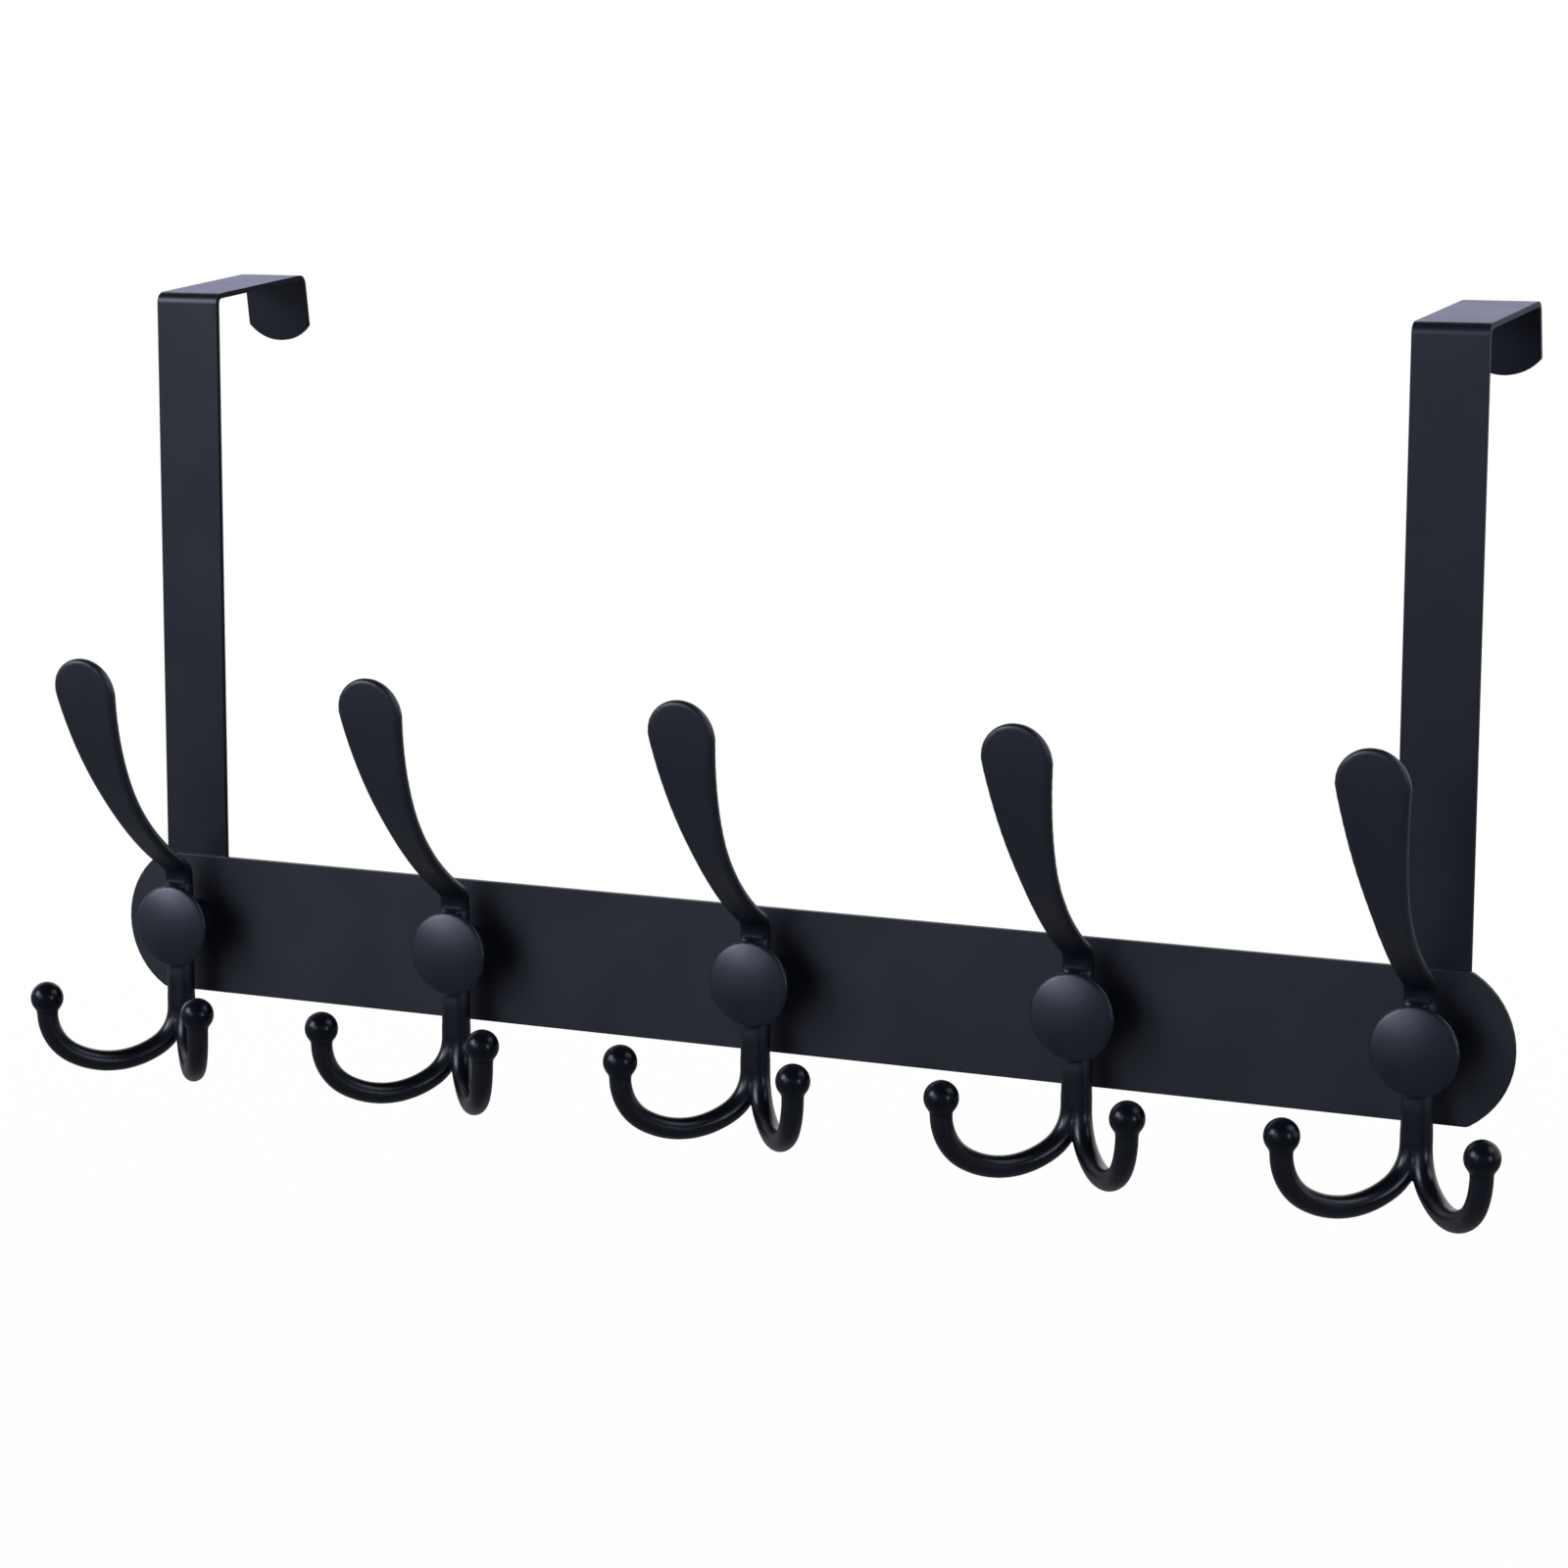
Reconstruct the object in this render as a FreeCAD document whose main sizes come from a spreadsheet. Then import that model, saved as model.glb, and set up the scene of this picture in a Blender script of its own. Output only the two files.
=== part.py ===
import FreeCAD, Part
import math
import os
import Sketcher
from FreeCAD import Rotation, Vector

# Over door hook rack: a steel rail on two folded door brackets, with five cast triple hooks.
# Millimetres and degrees. The origin is at the top front edge of the door, midway between the brackets:
# y = 0 is the door's front face, z = 0 is its top face, and the hooks point towards -Y.

doc = FreeCAD.newDocument("over_door_hook")

# Driving dimensions
SIZES = {
    # rail
    "rail_length": 416.0,
    "rail_height": 40.0,
    "rail_thickness": 1.5,
    "rail_end_bulge": 11.8,
    "rail_corner_radius": 3.0,
    "rail_drop": 180.8,
    # places of the hooks; the end hooks sit on the centre lines of the brackets
    "end_hook_margin": 22.5,
    "inner_hook_share": 0.504,
    "hook_axis_rise": 1.0,
    # door brackets
    "strap_width": 20.0,
    "strap_thickness": 1.5,
    "strap_bend_radius": 1.5,
    "strap_end_margin": 5.0,
    "strap_end_corner_radius": 3.0,
    "door_gap": 44.5,
    "plate_rise": 5.2,
    "flange_drop": 13.9,
    "flange_end_bulge": 4.6,
    "flange_flare": 9.5,
    "flange_corner_radius": 0.8,
    # disc and boss of a hook
    "disc_diameter": 23.6,
    "disc_standoff": 11.4,
    "disc_rim": 1.5,
    "disc_dome": 2.0,
    "boss_diameter": 13.0,
    # neck and stem, upright bars behind the disc
    "bar_depth": 8.0,
    "neck_bar_width": 8.7,
    "neck_bar_thickness": 5.2,
    "ledge_height": 12.0,
    "stem_width": 8.3,
    "stem_thickness": 6.2,
    # prongs
    "prong_start_drop": 21.0,
    "prong_diameter": 6.0,
    "prong_spread": 38.8,
    "prong_root_offset": 1.25,
    "prong_root_drop": 24.7,
    "prong_root_radius": 12.5,
    "prong_end_radius": 14.5,
    "ball_reach": 38.8,
    "ball_drop": 18.7,
    "ball_diameter": 9.4,
    # blade
    "blade_thickness": 3.2,
    "blade_top": 82.6,
    "blade_lean": 60.7,
    "blade_curve_radius": 87.6,
    "blade_tip_radius": 9.5,
    "blade_flank_angle": 7.8,
    "blade_edge_break": 0.8,
    "neck_width": 8.6,
    "neck_curve_radius": 150.0,
    "neck_height": 14.0,
    "neck_bend_radius": 4.5,
    # screws, from behind
    "screw_diameter": 4.0,
    "screw_hole_clearance": 0.4,
    "thread_clearance": 0.1,
    "screw_engagement": 6.5,
    "thread_hole_depth": 8.0,
    "flat_head_diameter": 8.0,
    "flat_head_height": 1.3,
    "countersunk_head_diameter": 7.2,
    "countersink_clearance": 0.1,
}

sheet = doc.addObject("Spreadsheet::Sheet", "Sizes")
for row, (alias, size) in enumerate(SIZES.items(), start=1):
    sheet.set(f"A{row}", alias)
    sheet.set(f"B{row}", str(size))
    sheet.setAlias(f"B{row}", alias)
doc.recompute()


def sized(expression):
    """The expression with each name of a size pointing into the sheet."""
    words = expression.replace("(", "( ").replace(")", " )").split(" ")
    return " ".join(f"Sizes.{word}" if word in SIZES else word for word in words)


def value(expression):
    """The number that an expression in the sizes comes to."""
    return float(sheet.evalExpression(sized(expression)))


def point(x, y):
    return Vector(x, y, 0)


def origin_feature(body, role):
    return next(item for item in body.Origin.OriginFeatures if item.Role == role)


def new_body(label, x="0", y="0", z="0"):
    body = doc.addObject("PartDesign::Body", label)
    body.Label = label
    for axis, expression in (("x", x), ("y", y), ("z", z)):
        body.setExpression(f"Placement.Base.{axis}", sized(expression))
    return body


def new_sketch(body, role, name, offset=None, turn=None):
    """A sketch on an origin plane of the body, shifted along its normal or turned about its upright axis."""
    sketch = body.newObject("Sketcher::SketchObject", name)
    sketch.AttachmentSupport = [(origin_feature(body, role), "")]
    sketch.MapMode = "FlatFace"
    if offset is not None:
        sketch.setExpression("AttachmentOffset.Base.z", sized(offset))
    if turn is not None:
        sketch.AttachmentOffset = FreeCAD.Placement(Vector(), Rotation(Vector(0, 1, 0), value(turn)))
        sketch.setExpression("AttachmentOffset.Rotation.Angle", sized(turn))
    doc.recompute()
    return sketch


def fix(sketch, kind, *where, by):
    """Adds a dimension that an expression in the sizes drives."""
    index = sketch.addConstraint(Sketcher.Constraint(kind, *where, value(by)))
    sketch.setExpression(f"Constraints[{index}]", sized(by))


def tie(sketch, *rules):
    for rule in rules:
        sketch.addConstraint(Sketcher.Constraint(*rule))


def line(sketch, start, end):
    return sketch.addGeometry(Part.LineSegment(point(*start), point(*end)), False)


def arc(sketch, centre, radius, start_angle, end_angle):
    """An arc drawn anticlockwise from one angle to the other, in degrees."""
    circle = Part.Circle(point(*centre), Vector(0, 0, 1), radius)
    return sketch.addGeometry(Part.ArcOfCircle(circle, math.radians(start_angle), math.radians(end_angle)), False)


def pad(body, sketch, name, length, symmetric=False, reverse=False):
    feature = body.newObject("PartDesign::Pad", name)
    feature.Profile = sketch
    feature.setExpression("Length", sized(length))
    feature.Midplane = symmetric
    feature.Reversed = reverse
    body.Tip = feature
    doc.recompute()
    return feature


def pocket_through(body, sketch, name, both_ways=False, reverse=False):
    """Cuts right through; the volume must fall, because a cut that points away from the solid shows no error."""
    before = body.Shape.Volume
    feature = body.newObject("PartDesign::Pocket", name)
    feature.Profile = sketch
    feature.Type = "ThroughAll"
    feature.Midplane = both_ways
    feature.Reversed = reverse
    body.Tip = feature
    doc.recompute()
    if not feature.Shape.Volume < before:
        raise RuntimeError(f"{name} cuts nothing")
    return feature


def turned(body, kind, sketch, name, axis=("V_Axis",)):
    """A full revolution or groove about an axis of its sketch."""
    feature = body.newObject(kind, name)
    feature.Profile = sketch
    feature.ReferenceAxis = (sketch, list(axis))
    feature.Angle = 360.0
    body.Tip = feature
    doc.recompute()
    return feature


def edges_where(feature, test):
    """Names of the feature's edges whose middle point and edge pass the test."""
    names = []
    for number, edge in enumerate(feature.Shape.Edges, start=1):
        first, last = edge.ParameterRange
        if test(edge.valueAt((first + last) / 2), edge):
            names.append(f"Edge{number}")
    return names


def fillet(body, feature, name, radius, test):
    rounded = body.newObject("PartDesign::Fillet", name)
    rounded.Base = (feature, edges_where(feature, test))
    rounded.setExpression("Radius", sized(radius))
    body.Tip = rounded
    doc.recompute()
    return rounded


def chamfer(body, feature, name, size, test):
    broken = body.newObject("PartDesign::Chamfer", name)
    broken.Base = (feature, edges_where(feature, test))
    broken.setExpression("Size", sized(size))
    body.Tip = broken
    doc.recompute()
    return broken


END_PLACE = "(rail_length / 2 - end_hook_margin)"
INNER_PLACE = f"inner_hook_share * {END_PLACE}"
HOOK_PLACES = {
    "hook_1": f"-1 * {END_PLACE}",
    "hook_2": f"-1 * {INNER_PLACE}",
    "hook_3": f"0 * {END_PLACE}",
    "hook_4": INNER_PLACE,
    "hook_5": END_PLACE,
}
AXIS_HEIGHT = "hook_axis_rise - rail_drop"
RAIL_FRONT = "-1 * strap_thickness - rail_thickness"


def make_rail():
    """Flat bar with an arc at each end, and a clearance hole behind each hook."""
    body = new_body("rail", y="-1 * strap_thickness", z="-1 * rail_drop")
    outline = new_sketch(body, "XZ_Plane", "RailOutline")
    end_radius = "(rail_height ^ 2 / 4 + rail_end_bulge ^ 2) / (2 * rail_end_bulge)"
    radius = value(end_radius)
    half = value("rail_height / 2")
    corner = value("rail_length / 2 - rail_end_bulge")
    centre = value("rail_length / 2") - radius
    swing = math.degrees(math.asin(half / radius))
    top = line(outline, (-corner, half), (corner, half))
    right = arc(outline, (centre, 0), radius, -swing, swing)
    bottom = line(outline, (corner, -half), (-corner, -half))
    left = arc(outline, (-centre, 0), radius, 180 - swing, 180 + swing)
    tie(
        outline,
        ("Coincident", top, 2, right, 2),
        ("Coincident", right, 1, bottom, 1),
        ("Coincident", bottom, 2, left, 2),
        ("Coincident", left, 1, top, 1),
        ("Symmetric", top, 1, top, 2, -2),
        ("Symmetric", bottom, 1, bottom, 2, -2),
        ("Symmetric", top, 2, bottom, 1, -1),
    )
    fix(outline, "DistanceX", bottom, 2, bottom, 1, by="rail_length - 2 * rail_end_bulge")
    fix(outline, "DistanceY", bottom, 1, top, 2, by="rail_height")
    fix(outline, "Radius", right, by=end_radius)
    fix(outline, "Radius", left, by=end_radius)
    bar = pad(body, outline, "RailBar", "rail_thickness")

    holes = new_sketch(body, "XZ_Plane", "RailHoles")
    for place in HOOK_PLACES.values():
        centre = point(value(place), value("hook_axis_rise"))
        hole = holes.addGeometry(Part.Circle(centre, Vector(0, 0, 1), value("screw_diameter") / 2), False)
        fix(holes, "DistanceX", -1, 1, hole, 3, by=place)
        fix(holes, "DistanceY", -1, 1, hole, 3, by="hook_axis_rise")
        fix(holes, "Diameter", hole, by="screw_diameter + screw_hole_clearance")
    drilled = pocket_through(body, holes, "RailScrewHoles", both_ways=True)

    def upright_corner(middle, edge):
        short = edge.Length < value("rail_thickness") + 0.01
        return short and abs(middle.x) > corner - 1 and abs(abs(middle.z) - half) < 0.01

    fillet(body, drilled, "RailCorners", "rail_corner_radius", upright_corner)
    return body


def make_bracket(label, place):
    """One strip folded over the door: long front drop, top plate that rises to the rear, short flared flange."""
    body = new_body(label, x=place)
    side = new_sketch(body, "YZ_Plane", "StripSide")
    thick = value("strap_thickness")
    inner = value("strap_bend_radius")
    outer = inner + thick
    gap = value("door_gap")
    flare = value("flange_flare")
    rise = value("plate_rise")
    drop = value("flange_drop")
    low = value("-1 * rail_drop - rail_height / 2 + strap_end_margin")
    lean = math.radians(flare)
    slope = math.radians(rise)
    up = Vector(-math.sin(slope), math.cos(slope), 0)
    out = Vector(math.cos(lean), math.sin(lean), 0)
    down = Vector(math.sin(lean), -math.cos(lean), 0)
    front_centre = Vector(inner, -inner * (1 - math.sin(slope)) / math.cos(slope), 0)
    corner = Vector(gap, gap * math.tan(slope), 0)
    shares = Vector(math.cos(slope) - math.sin(lean), math.sin(slope) + math.cos(lean), 0)
    rear_centre = corner - shares * (inner / math.cos(lean - slope))
    inner_bend_end = rear_centre + out * inner
    outer_bend_end = rear_centre + out * outer
    run = (inner_bend_end.y + drop) / math.cos(lean)
    inner_tip = inner_bend_end + down * run
    outer_tip = outer_bend_end + down * run

    front = line(side, (-thick, low), (-thick, front_centre.y))
    front_outer = arc(side, (inner, front_centre.y), outer, 90 + rise, 180)
    top = line(side, tuple(front_centre + up * outer)[:2], tuple(rear_centre + up * outer)[:2])
    rear_outer = arc(side, tuple(rear_centre)[:2], outer, flare, 90 + rise)
    flange_outer = line(side, tuple(outer_bend_end)[:2], tuple(outer_tip)[:2])
    tip = line(side, tuple(outer_tip)[:2], tuple(inner_tip)[:2])
    flange_inner = line(side, tuple(inner_tip)[:2], tuple(inner_bend_end)[:2])
    rear_inner = arc(side, tuple(rear_centre)[:2], inner, flare, 90 + rise)
    underside = line(side, tuple(rear_centre + up * inner)[:2], tuple(front_centre + up * inner)[:2])
    front_inner = arc(side, (inner, front_centre.y), inner, 90 + rise, 180)
    back = line(side, (0, front_centre.y), (0, low))
    end = line(side, (0, low), (-thick, low))
    tie(
        side,
        ("Tangent", front, 2, front_outer, 2),
        ("Tangent", front_outer, 1, top, 1),
        ("Tangent", top, 2, rear_outer, 2),
        ("Tangent", rear_outer, 1, flange_outer, 1),
        ("Coincident", flange_outer, 2, tip, 1),
        ("Coincident", tip, 2, flange_inner, 1),
        ("Tangent", flange_inner, 2, rear_inner, 1),
        ("Tangent", rear_inner, 2, underside, 1),
        ("Tangent", underside, 2, front_inner, 1),
        ("Tangent", front_inner, 2, back, 1),
        ("Coincident", back, 2, end, 1),
        ("Coincident", end, 2, front, 1),
        ("Horizontal", end),
        ("Vertical", front),
        ("Vertical", back),
        ("Parallel", flange_outer, flange_inner),
        ("Coincident", front_outer, 3, front_inner, 3),
        ("Coincident", rear_outer, 3, rear_inner, 3),
        ("Perpendicular", tip, flange_inner),
        ("PointOnObject", -1, 1, underside),
        ("PointOnObject", back, 1, -2),
    )
    fix(side, "Radius", front_inner, by="strap_bend_radius")
    fix(side, "Radius", front_outer, by="strap_bend_radius + strap_thickness")
    fix(side, "Radius", rear_inner, by="strap_bend_radius")
    fix(side, "Radius", rear_outer, by="strap_bend_radius + strap_thickness")
    bend_share = "(cos(plate_rise) - sin(flange_flare)) / cos(flange_flare - plate_rise)"
    fix(side, "DistanceX", -1, 1, rear_inner, 3, by=f"door_gap - strap_bend_radius * {bend_share}")
    fix(side, "DistanceX", front_inner, 1, front_inner, 3, by="strap_bend_radius * sin(plate_rise)")
    fix(side, "DistanceY", end, 1, -1, 1, by="rail_drop + rail_height / 2 - strap_end_margin")
    fix(side, "DistanceY", flange_inner, 1, -1, 1, by="flange_drop")
    fix(side, "DistanceY", rear_inner, 3, rear_inner, 1, by="strap_bend_radius * sin(flange_flare)")
    strip = pad(body, side, "FoldedStrip", "strap_width", symmetric=True)

    trim = new_sketch(body, "XZ_Plane", "FlangeRound")
    half = value("strap_width / 2")
    bulge = value("flange_end_bulge")
    round_radius = "(strap_width ^ 2 / 4 + flange_end_bulge ^ 2) / (2 * flange_end_bulge)"
    radius = value(round_radius)
    swing = math.degrees(math.asin(half / radius))
    level = -drop + bulge
    below = level - 4 * bulge
    curve = arc(trim, (0, radius - drop), radius, 270 - swing, 270 + swing)
    right = line(trim, (half, level), (half, below))
    base = line(trim, (half, below), (-half, below))
    left = line(trim, (-half, below), (-half, level))
    tie(
        trim,
        ("Coincident", curve, 2, right, 1),
        ("Coincident", right, 2, base, 1),
        ("Coincident", base, 2, left, 1),
        ("Coincident", left, 2, curve, 1),
        ("Vertical", right),
        ("Vertical", left),
        ("Horizontal", base),
        ("Symmetric", left, 2, right, 1, -2),
    )
    fix(trim, "Radius", curve, by=round_radius)
    fix(trim, "DistanceX", left, 2, right, 1, by="strap_width")
    fix(trim, "DistanceY", right, 1, -1, 1, by="flange_drop - flange_end_bulge")
    fix(trim, "DistanceY", right, 2, right, 1, by="4 * flange_end_bulge")
    trimmed = pocket_through(body, trim, "FlangeEnd")

    sink = new_sketch(body, "YZ_Plane", "Countersink")
    wide = value("countersunk_head_diameter / 2 + countersink_clearance")
    narrow = value("screw_diameter / 2 + screw_hole_clearance / 2")
    height = value(AXIS_HEIGHT)
    profile = [(0, height), (0, height + wide), (-thick, height + narrow), (-thick, height)]
    sides = [line(sink, profile[i], profile[(i + 1) % 4]) for i in range(4)]
    for i in range(4):
        tie(sink, ("Coincident", sides[i], 2, sides[(i + 1) % 4], 1))
    tie(sink, ("Vertical", sides[0]), ("Vertical", sides[2]), ("Horizontal", sides[3]))
    tie(sink, ("PointOnObject", sides[0], 1, -2))
    fix(sink, "DistanceY", sides[0], 1, -1, 1, by="rail_drop - hook_axis_rise")
    fix(sink, "DistanceY", sides[0], 1, sides[0], 2, by="countersunk_head_diameter / 2 + countersink_clearance")
    fix(sink, "DistanceY", sides[2], 2, sides[2], 1, by="screw_diameter / 2 + screw_hole_clearance / 2")
    fix(sink, "DistanceX", sides[3], 1, sides[3], 2, by="strap_thickness")
    sunk = turned(body, "PartDesign::Groove", sink, "ScrewSeat", axis=(f"Edge{sides[3] + 1}",))
    if not sunk.Shape.Volume < trimmed.Shape.Volume:
        raise RuntimeError("ScrewSeat cuts nothing")

    def strap_end(middle, edge):
        return abs(middle.z - low) < 0.01 and abs(abs(middle.x) - half) < 0.01

    def flange_corner(middle, edge):
        return abs(abs(middle.x) - half) < 0.01 and middle.y > gap and abs(middle.z - level) < 1.0 and (
            edge.Length < 2 * thick
        )

    ended = fillet(body, sunk, "StrapEndCorners", "strap_end_corner_radius", strap_end)
    fillet(body, ended, "FlangeCorners", "flange_corner_radius", flange_corner)
    return body


def blade_path():
    """Places of the two arcs that the blade's middle line follows, in (y, z) of the hook."""
    lean = math.radians(value("blade_lean"))
    depth = value("bar_depth")
    bend = value("neck_bend_radius")
    curve = value("blade_curve_radius")
    neck = value("neck_height")
    bend_centre = (-depth - bend, neck)
    joint = (bend_centre[0] + bend * math.cos(lean), neck + bend * math.sin(lean))
    curve_centre = (joint[0] + curve * math.cos(lean), joint[1] + curve * math.sin(lean))
    return bend_centre, curve_centre


def add_blade(body):
    """Paddle blade: a curved ribbon, trimmed to its front outline, with its edges broken."""
    side = new_sketch(body, "YZ_Plane", "BladeSide")
    thick = value("blade_thickness")
    depth = value("bar_depth")
    bend = value("neck_bend_radius")
    curve = value("blade_curve_radius")
    lean = value("blade_lean")
    neck = value("neck_height")
    root = value("ledge_height / 2")
    top = value("blade_top")
    bend_centre, curve_centre = blade_path()
    reach_up = top + thick
    end_angle = math.degrees(math.asin((curve_centre[1] - reach_up) / (curve + thick / 2)))
    end = math.radians(end_angle)
    front_radius = curve + thick / 2
    back_radius = curve - thick / 2
    front_end = (curve_centre[0] - front_radius * math.cos(end), curve_centre[1] - front_radius * math.sin(end))
    back_end = (curve_centre[0] - back_radius * math.cos(end), curve_centre[1] - back_radius * math.sin(end))

    front = line(side, (-depth - thick / 2, root), (-depth - thick / 2, neck))
    front_bend = arc(side, bend_centre, bend - thick / 2, 0, lean)
    front_curve = arc(side, curve_centre, front_radius, 180 + end_angle, 180 + lean)
    tip = line(side, front_end, back_end)
    back_curve = arc(side, curve_centre, back_radius, 180 + end_angle, 180 + lean)
    back_bend = arc(side, bend_centre, bend + thick / 2, 0, lean)
    back = line(side, (-depth + thick / 2, neck), (-depth + thick / 2, root))
    base = line(side, (-depth + thick / 2, root), (-depth - thick / 2, root))
    tie(
        side,
        ("Tangent", front, 2, front_bend, 1),
        ("Tangent", front_bend, 2, front_curve, 2),
        ("Coincident", front_curve, 1, tip, 1),
        ("Tangent", back_curve, 2, back_bend, 2),
        ("Tangent", back_bend, 1, back, 1),
        ("Coincident", back, 2, base, 1),
        ("Coincident", base, 2, front, 1),
        ("Vertical", front),
        ("Vertical", back),
        ("Horizontal", base),
        ("Coincident", front_bend, 3, back_bend, 3),
        ("Coincident", front_curve, 3, back_curve, 3),
        ("Perpendicular", tip, 2, back_curve, 1),
    )
    fix(side, "DistanceX", base, 2, -1, 1, by="bar_depth + blade_thickness / 2")
    fix(side, "DistanceX", base, 2, base, 1, by="blade_thickness")
    fix(side, "DistanceY", -1, 1, base, 1, by="ledge_height / 2")
    fix(side, "DistanceY", -1, 1, front_bend, 3, by="neck_height")
    fix(side, "Radius", front_bend, by="neck_bend_radius - blade_thickness / 2")
    fix(side, "Radius", front_curve, by="blade_curve_radius + blade_thickness / 2")
    bend_rise = "(neck_bend_radius - blade_thickness / 2) * sin(blade_lean)"
    fix(side, "DistanceY", front_bend, 3, front_bend, 2, by=bend_rise)
    fix(side, "DistanceY", -1, 1, front_curve, 1, by="blade_top + blade_thickness")
    ribbon = pad(body, side, "BladeRibbon", "2 * blade_tip_radius + blade_thickness", symmetric=True)

    trim = new_sketch(body, "XZ_Plane", "BladeOutline")
    radius = value("blade_tip_radius")
    flank = value("blade_flank_angle")
    slope = math.radians(flank)
    half = value("neck_width / 2")
    neck_curve = value("neck_curve_radius")
    tip_centre = top - radius
    high = (radius * math.cos(slope), tip_centre - radius * math.sin(slope))
    waist_x = half + neck_curve * (1 - math.cos(slope))
    waist = (waist_x, high[1] - (high[0] - waist_x) / math.tan(slope))
    neck_level = waist[1] - neck_curve * math.sin(slope)
    low = root - thick
    margin = radius + thick
    outline = {}
    round_end = arc(trim, (0, tip_centre), radius, -flank, 180 + flank)
    for sign in (1, -1):
        flank_line = line(trim, (sign * high[0], high[1]), (sign * waist[0], waist[1]))
        centre = (sign * (half + neck_curve), neck_level)
        angles = (180 - flank, 180) if sign > 0 else (0, flank)
        neck_arc = arc(trim, centre, neck_curve, *angles)
        neck_line = line(trim, (sign * half, neck_level), (sign * half, low))
        outline[sign] = (flank_line, neck_arc, neck_line)
    base = line(trim, (half, low), (-half, low))
    for sign, arc_end, wide_end, narrow_end in ((1, 1, 1, 2), (-1, 2, 2, 1)):
        flank_line, neck_arc, neck_line = outline[sign]
        tie(
            trim,
            ("Tangent", round_end, arc_end, flank_line, 1),
            ("Tangent", flank_line, 2, neck_arc, wide_end),
            ("Tangent", neck_arc, narrow_end, neck_line, 1),
            ("Coincident", neck_line, 2, base, 1 if sign > 0 else 2),
            ("Vertical", neck_line),
        )
    tie(trim, ("PointOnObject", round_end, 3, -2), ("Symmetric", base, 1, base, 2, -2))
    tie(trim, ("Equal", outline[1][1], outline[-1][1]))
    fix(trim, "Radius", round_end, by="blade_tip_radius")
    fix(trim, "DistanceY", -1, 1, round_end, 3, by="blade_top - blade_tip_radius")
    fix(trim, "Radius", outline[1][1], by="neck_curve_radius")
    fix(trim, "DistanceX", base, 2, base, 1, by="neck_width")
    fix(trim, "DistanceY", -1, 1, base, 1, by="ledge_height / 2 - blade_thickness")
    fix(trim, "DistanceX", -1, 1, outline[1][0], 1, by="blade_tip_radius * cos(blade_flank_angle)")
    fix(trim, "DistanceX", outline[-1][0], 1, -1, 1, by="blade_tip_radius * cos(blade_flank_angle)")
    frame = []
    corners = [(-margin, low - thick), (margin, low - thick), (margin, top + 2 * thick), (-margin, top + 2 * thick)]
    for i in range(4):
        frame.append(line(trim, corners[i], corners[(i + 1) % 4]))
    for i in range(4):
        tie(trim, ("Coincident", frame[i], 2, frame[(i + 1) % 4], 1))
    tie(trim, ("Horizontal", frame[2]), ("Vertical", frame[1]), ("Vertical", frame[3]))
    tie(trim, ("Symmetric", frame[0], 1, frame[0], 2, -2))
    fix(trim, "DistanceX", frame[0], 1, frame[0], 2, by="2 * blade_tip_radius + 2 * blade_thickness")
    fix(trim, "DistanceY", -1, 1, frame[0], 1, by="ledge_height / 2 - 2 * blade_thickness")
    fix(trim, "DistanceY", -1, 1, frame[2], 1, by="blade_top + 2 * blade_thickness")
    blade = pocket_through(body, trim, "BladeTrim", both_ways=True)

    def long_edge(middle, edge):
        return edge.Length > 1.5 * thick

    chamfer(body, blade, "BladeEdges", "blade_edge_break", long_edge)


def add_core(body):
    """Boss on the rail and domed disc in front of it, turned as one."""
    turning = new_sketch(body, "YZ_Plane", "DiscTurning")
    boss = value("boss_diameter / 2")
    disc = value("disc_diameter / 2")
    back = -value("disc_standoff")
    front = back - value("disc_rim")
    crown = front - value("disc_dome")
    dome_radius = "(disc_diameter ^ 2 / 4 + disc_dome ^ 2) / (2 * disc_dome)"
    dome = value(dome_radius)
    swing = math.degrees(math.asin(disc / dome))
    seat = line(turning, (0, 0), (0, boss))
    shank = line(turning, (0, boss), (back, boss))
    shoulder = line(turning, (back, boss), (back, disc))
    rim = line(turning, (back, disc), (front, disc))
    face = arc(turning, (crown + dome, 0), dome, 180 - swing, 180)
    axis = line(turning, (crown, 0), (0, 0))
    tie(
        turning,
        ("Coincident", seat, 2, shank, 1),
        ("Coincident", shank, 2, shoulder, 1),
        ("Coincident", shoulder, 2, rim, 1),
        ("Coincident", rim, 2, face, 1),
        ("Coincident", face, 2, axis, 1),
        ("Coincident", axis, 2, seat, 1),
        ("Coincident", seat, 1, -1, 1),
        ("Vertical", seat),
        ("Horizontal", shank),
        ("Vertical", shoulder),
        ("Horizontal", rim),
        ("Horizontal", axis),
    )
    fix(turning, "DistanceY", seat, 1, seat, 2, by="boss_diameter / 2")
    fix(turning, "DistanceX", shoulder, 2, -1, 1, by="disc_standoff")
    fix(turning, "DistanceX", rim, 2, rim, 1, by="disc_rim")
    fix(turning, "DistanceY", axis, 2, rim, 1, by="disc_diameter / 2")
    fix(turning, "DistanceX", axis, 1, -1, 1, by="disc_standoff + disc_rim + disc_dome")
    fix(turning, "Radius", face, by=dome_radius)
    return turned(body, "PartDesign::Revolution", turning, "DiscAndBoss", axis=("H_Axis",))


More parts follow.
